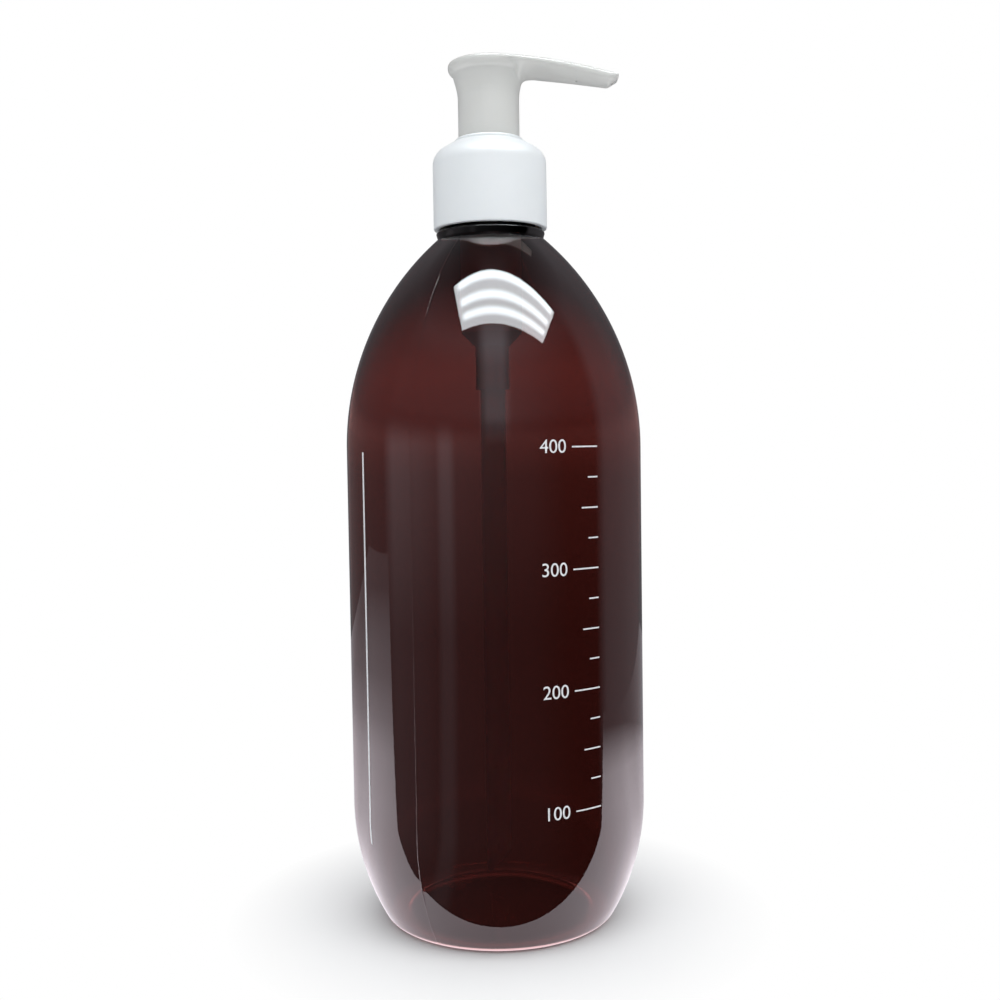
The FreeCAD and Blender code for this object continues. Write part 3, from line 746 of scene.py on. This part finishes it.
def fill_levels(amounts):
    """Levels that amounts of oil, in millilitres, come up to inside the wall."""
    inside = sorted(bottle_profile()[1], key=lambda point: point[1])
    found, volume = {}, 0.0
    for (near, low), (far, high) in zip(inside, inside[1:]):
        slice_volume = math.pi * ((near + far) / 2) ** 2 * (high - low) / 1000
        for amount in amounts:
            if volume <= amount < volume + slice_volume:
                found[amount] = low + (high - low) * (amount - volume) / slice_volume
        volume += slice_volume
    return found


def build_print():
    """A plain rule and a fill scale in white ink where the photograph has lettering."""
    marks = [printed_bar(-RULE_HALF, RULE_HALF, RULE_LOW, RULE_HIGH, RULE_ANGLE)]
    for amount, level in fill_levels(AMOUNTS).items():
        length = next(size for step, size in TICK_LENGTHS.items() if amount % step == 0)
        marks.append(printed_bar(-length, 0, level - TICK_HALF, level + TICK_HALF, SCALE_ANGLE))
        if amount % NUMBERED == 0:
            marks.append(printed_number(str(amount), -length - NUMBER_GAP, level, SCALE_ANGLE))
    points, faces = joined(marks)
    make_object("printed_scale", points, faces, INK, "bottle")


build_bottle()
build_collar()
build_head()
build_print()
build_threads()
build_spring()

# Solids that keep their own mesh, and their finishes
CARRIED = {
    "neck_gasket": FOAM, "lock_ring": COLLAR_WHITE, "pump_housing": NATURAL, "ball_cage": NATURAL,
    "inlet_ball": BALL, "dip_tube": TUBE, "piston": PISTON, "valve_rod": NATURAL, "stem": STEM_WHITE,
}
for node, finish in CARRIED.items():
    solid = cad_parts[node]
    solid.data.materials.clear()
    solid.data.materials.append(finish)
    solid.data.shade_smooth()
    even_normals(solid, 28)


def stage_plane(name, low, high, level, material):
    """A level rectangle of the studio, in metres."""
    corners = [(low[0], low[1]), (high[0], low[1]), (high[0], high[1]), (low[0], high[1])]
    mesh = bpy.data.meshes.new(name)
    mesh.from_pydata([(across, deep, level) for across, deep in corners], [], [(0, 1, 2, 3)])
    mesh.materials.append(material)
    made = bpy.data.objects.new(name, mesh)
    bpy.context.collection.objects.link(made)
    return made


def only_in_reflections(piece):
    """Leaves a piece of the studio to be seen in the gloss and nowhere else."""
    piece.visible_camera = False
    piece.visible_diffuse = False
    piece.visible_transmission = False
    piece.visible_shadow = False


def glowing(name, colour):
    """A surface that gives off light, with its node tree and its light."""
    made = bpy.data.materials.new(name)
    made.use_nodes = True
    tree = made.node_tree
    tree.nodes.clear()
    light = add(tree, "ShaderNodeEmission", inputs={"Color": colour})
    out = add(tree, "ShaderNodeOutputMaterial")
    tree.links.new(light.outputs["Emission"], out.inputs["Surface"])
    return made, tree, light


# Studio in metres: pale floor, ceiling panel with three tubes, and the dark room in the gloss of the front
FLOOR_REACH = 3
FLOOR_FADE = (0.027, 0.066)
TABLE_LOW = (-1.0, -0.034)
TABLE_HIGH = (0.26, 0.4)
TABLE_LEVEL = 0.0004
TABLE_GLOW = 2.75
TABLE_LEAST = 0.34
LAMP_LOW = (-0.43, -0.667)
LAMP_HIGH = (0.806, -0.143)
LAMP_LEVEL = 1.02
LAMP_POWER = 5.6
PANEL_GLOW = 9.6
TUBE_GLOW = 11.0
TUBES = (-0.525, -0.368, -0.186)
TUBE_HALF = 0.018
TUBE_FADE = 0.042
FILL = 0.66
FRONT_GAIN = 4
LENS = 43.72
CAMERA_PLACE = (0, -0.29375, 0.11495)
CAMERA_TILT = 0.0502
CAMERA_TURN = -0.0045
CAMERA_ROLL = -0.015


def ramp_of(tree, factor, stops):
    """Numbers between stops, each a place from 0 to 1 and its number."""
    ramp = add(tree, "ShaderNodeValToRGB", inputs={"Fac": factor})
    while len(ramp.color_ramp.elements) < len(stops):
        ramp.color_ramp.elements.new(0.5)
    for element, (place, value) in zip(ramp.color_ramp.elements, stops):
        element.position = place
        element.color = (value, value, value, 1)
    return ramp.outputs["Color"]


def build_floor():
    """A matt pale floor that runs out into the white of the background."""
    pale, tree, shader = new_material("matt_pale_floor", Roughness=0.9, Specular_IOR_Level=0.0)
    tint(tree, shader, noise(tree, 40, 2.0), "#f7f7f7", "#fbfbfb")
    away = distance(tree, place_of(tree)[0])
    ray = add(tree, "ShaderNodeLightPath")
    far = times(tree, shift(tree, away, *FLOOR_FADE), ray.outputs["Is Camera Ray"])
    white = add(tree, "ShaderNodeEmission", inputs={"Color": (1, 1, 1, 1), "Strength": 1.0})
    mixed = add(tree, "ShaderNodeMixShader", inputs={
        "Fac": far, 1: shader.outputs["BSDF"], 2: white.outputs["Emission"]})
    tree.links.new(mixed.outputs["Shader"], tree.nodes["Material Output"].inputs["Surface"])
    floor = stage_plane("floor", (-FLOOR_REACH, -FLOOR_REACH), (FLOOR_REACH, FLOOR_REACH), 0.0, pale)
    floor.visible_glossy = False
    floor.visible_transmission = False


def build_table():
    """A glowing card seen only in the gloss, a painted reflection of the lit table top: brightest beside the
    bottle, dark in front of it.
    """
    lit, tree, light = glowing("painted_table_reflection", (1, 0.92, 0.99, 1))
    place, spot = place_of(tree)
    away = distance(tree, place)
    lean = calc(tree, "DIVIDE", spot["Y"], away)
    # Painted shade and light in the glow: dim close to the foot for the bottle's own shadow, brightest some
    # 13 cm out, fading further off
    near = ramp_of(tree, away, [
        (0.03, 0.5), (0.036, 0.66), (0.045, 0.8), (0.06, 0.87), (0.09, 0.95), (0.13, 1), (0.19, 0.92),
        (0.25, 0.6), (0.345, 0.38), (0.48, 0.3), (0.7, 0.15)])
    behind = ramp_of(tree, lean, [(0, 1), (0.3, 0.85), (0.55, 0.5), (0.8, 0.3), (1, 0.15)])
    past_edge = times(tree, shift(tree, spot["X"], -0.02, 0.02), shift(tree, away, 0.165, 0.25))
    within = calc(tree, "SUBTRACT", 1.0, past_edge)
    bright = times(tree, times(tree, times(tree, near, behind), within), TABLE_GLOW)
    tree.links.new(calc(tree, "MAXIMUM", bright, TABLE_LEAST), light.inputs["Strength"])
    only_in_reflections(stage_plane("table_top", TABLE_LOW, TABLE_HIGH, TABLE_LEVEL, lit))


def build_lamp():
    """A ceiling panel with three tubes: its picture in the gloss, and the soft light that it gives."""
    glow, tree, light = glowing("panel_glow", (0.87, 0.96, 1, 1))
    spot = place_of(tree)[1]
    wide, deep = (high - low for low, high in zip(LAMP_LOW, LAMP_HIGH))
    edge = TUBE_HALF + TUBE_FADE
    stops = []
    for tube in TUBES:
        for offset, value in ((-edge, 0), (-TUBE_HALF, 1), (TUBE_HALF, 1), (edge, 0)):
            stops.append(((tube + offset - LAMP_LOW[1]) / deep, value))
    stripes = ramp_of(tree, shift(tree, spot["Y"], LAMP_LOW[1], LAMP_HIGH[1]), stops)
    along = shift(tree, spot["X"], LAMP_LOW[0], LAMP_HIGH[0])
    ends = ramp_of(tree, along, [(0.02, 0), (0.06, 1), (0.95, 1), (0.985, 0)])
    level = calc(tree, "MULTIPLY_ADD", times(tree, stripes, ends), TUBE_GLOW, PANEL_GLOW)
    tree.links.new(level, light.inputs["Strength"])
    only_in_reflections(stage_plane("ceiling_panel", LAMP_LOW, LAMP_HIGH, LAMP_LEVEL, glow))
    lamp = bpy.data.lights.new("soft_ceiling_light", "AREA")
    lamp.shape = "RECTANGLE"
    lamp.size = wide
    lamp.size_y = deep
    lamp.energy = LAMP_POWER
    made = bpy.data.objects.new("soft_ceiling_light", lamp)
    made.location = ((LAMP_LOW[0] + LAMP_HIGH[0]) / 2, (LAMP_LOW[1] + LAMP_HIGH[1]) / 2, LAMP_LEVEL)
    made.visible_glossy = False
    bpy.context.collection.objects.link(made)


def build_world():
    """White behind the object, soft fill on it, and a dim room in its gloss and behind its clear wall."""
    world = bpy.data.worlds.new("pale_room")
    world.use_nodes = True
    bpy.context.scene.world = world
    tree = world.node_tree
    tree.nodes.clear()
    ray = add(tree, "ShaderNodeLightPath").outputs
    way = place_of(tree, "Generated")[1]
    height = shift(tree, way["Z"], -1, 1)
    across = shift(tree, way["X"], -1, 1)
    front = ramp_of(tree, height, [
        (0, 0.05), (0.42, 0.15), (0.5, 0.4), (0.58, 0.3), (0.62, 0.45), (0.78, 0.45), (0.85, 0.65),
        (0.92, 0.4), (0.98, 0.1)])
    level_with = ramp_of(tree, across, [
        (0.02, 0.45), (0.15, 0.25), (0.18, 0.5), (0.22, 0.5), (0.26, 0.2), (0.5, 0.12), (0.75, 0.08),
        (0.92, 0)])
    above = ramp_of(tree, across, [
        (0.02, 0.12), (0.4, 0.15), (0.46, 0.55), (0.56, 0.55), (0.62, 0.2), (0.92, 0.05)])
    beside = blend(tree, shift(tree, way["Z"], 0.03, 0.2), level_with, above)
    back = ramp_of(tree, shift(tree, way["Y"], 0, 1), [(0.2, 0.45), (0.55, 0.36), (0.85, 0.15)])
    back = times(tree, back, ramp_of(tree, way["Z"], [(0.7, 1), (0.95, 0.25)]))
    back = times(tree, back, ramp_of(tree, across, [
        (0.02, 0.35), (0.12, 0.45), (0.3, 1), (0.7, 1), (0.9, 0.75)]))
    in_front = times(tree, times(tree, front, beside), FRONT_GAIN)
    room = blend(tree, shift(tree, way["Y"], -0.12, 0.05), in_front, back)
    through = ramp_of(tree, height, [
        (0, 0.12), (0.42, 0.25), (0.485, 0.4), (0.5, 0.65), (0.53, 1), (0.55, 0.65), (0.57, 0.12),
        (0.6, 0.02)])
    reflected = add(tree, "ShaderNodeBackground", inputs={"Color": (1, 0.93, 1, 1), "Strength": room})
    passed = add(tree, "ShaderNodeBackground", inputs={"Strength": through})
    ambient = add(tree, "ShaderNodeBackground", inputs={"Color": (0.94, 0.965, 1, 1), "Strength": FILL})
    plain = add(tree, "ShaderNodeBackground", inputs={"Color": (1, 1, 1, 1), "Strength": 1.0})
    seen_through = times(tree, ray["Is Transmission Ray"], calc(tree, "LESS_THAN", ray["Diffuse Depth"], 0.5))
    chosen = ambient.outputs["Background"]
    layers = ((ray["Is Glossy Ray"], reflected), (seen_through, passed), (ray["Is Camera Ray"], plain))
    for part, other in layers:
        chosen = add(tree, "ShaderNodeMixShader", inputs={
            "Fac": part, 1: chosen, 2: other.outputs["Background"]}).outputs["Shader"]
    out = add(tree, "ShaderNodeOutputWorld")
    tree.links.new(chosen, out.inputs["Surface"])


def build_camera():
    """The photograph's view: level with the straight side, tipped down a little."""
    camera = bpy.data.cameras.new("photo_camera")
    camera.sensor_width = 36.0
    camera.lens = LENS
    made = bpy.data.objects.new("photo_camera", camera)
    tilt = Matrix.Rotation(math.pi / 2 - CAMERA_TILT, 4, "X")
    turn = Matrix.Rotation(CAMERA_TURN, 4, "Z")
    roll = Matrix.Rotation(CAMERA_ROLL, 4, "Z")
    made.matrix_world = Matrix.Translation(CAMERA_PLACE) @ turn @ tilt @ roll
    bpy.context.collection.objects.link(made)
    bpy.context.scene.camera = made


build_floor()
build_table()
build_lamp()
build_world()
build_camera()
bpy.context.scene.view_settings.view_transform = "Standard"
